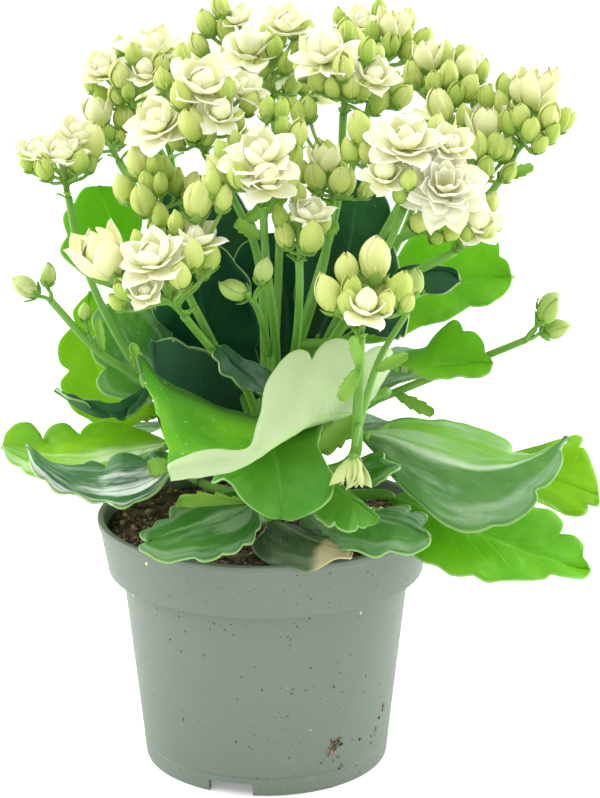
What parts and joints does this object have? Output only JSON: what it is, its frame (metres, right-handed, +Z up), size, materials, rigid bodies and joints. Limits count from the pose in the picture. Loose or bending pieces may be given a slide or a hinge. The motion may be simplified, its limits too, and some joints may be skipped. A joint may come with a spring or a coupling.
{
  "type": "potted kalanchoe",
  "caption": "Flowering succulent with scalloped fleshy leaves and domed heads of double cream flowers on branching stems, in a tapered nursery pot.",
  "frame": {"origin": "middle of the pot's underside, on the surface that the pot stands on", "axes": "+Z up along the pot's axis, -Y towards the side that the picture shows, +X to that viewer's right"},
  "size_m": [0.2152, 0.1702, 0.267],
  "materials": {
    "pot_plastic": "matt grey-green injection-moulded polypropylene with a fine tooth",
    "peat": "dark moist peat with pale fibres and crumbs",
    "stem": "smooth fleshy light-green stalk",
    "leaf": "thick waxy green leaf, glossy above and paler and duller beneath",
    "withered_leaf": "dull grey-green leaf drying to brown at its curled edge",
    "flower": "soft creamy-white petals over yellow-green buds and calyxes"
  },
  "bodies": {
    "root": {"head_centre": "flower", "head_centre_low": "flower", "head_centre_right": "flower", "head_far_left": "flower", "head_far_right": "flower", "head_front_left": "flower", "head_front_low": "flower", "head_front_right": "flower", "head_left_back": "flower", "head_left_front": "flower", "head_left_middle": "flower", "head_left_small": "flower", "head_rear_left": "flower", "head_rear_middle": "flower", "head_rear_right": "flower", "head_right": "flower", "head_right_back": "flower", "head_right_low": "flower", "head_top_left": "flower", "head_top_middle": "flower", "head_top_right": "flower", "leaf_back_1": "leaf", "leaf_back_2": "leaf", "leaf_back_3": "leaf", "leaf_back_4": "leaf", "leaf_back_5": "leaf", "leaf_back_6": "leaf", "leaf_back_7": "leaf", "leaf_back_8": "leaf", "leaf_back_dark": "leaf", "leaf_back_left_round": "leaf", "leaf_back_right": "leaf", "leaf_centre_edge": "leaf", "leaf_centre_tall": "leaf", "leaf_front_apron": "leaf", "leaf_front_cup": "leaf", "leaf_inner_left": "leaf", "leaf_inner_low": "leaf", "leaf_inner_middle": "leaf", "leaf_left_backlit": "leaf", "leaf_left_curled": "leaf", "leaf_left_scalloped": "leaf", "leaf_left_trough": "leaf", "leaf_left_upright": "leaf", "leaf_right_inner": "leaf", "leaf_right_low": "leaf", "leaf_right_mid": "leaf", "leaf_right_tip": "leaf", "leaf_right_twisted": "leaf", "leaf_right_upper": "leaf", "leaf_small_front": "leaf", "leaf_soil_left": "leaf", "leaf_soil_right": "leaf", "leaf_tiny_right": "leaf", "leaf_withered": "withered_leaf", "pot": "pot_plastic", "soil": "peat", "stems": "stem"}
  },
  "joints": []
}
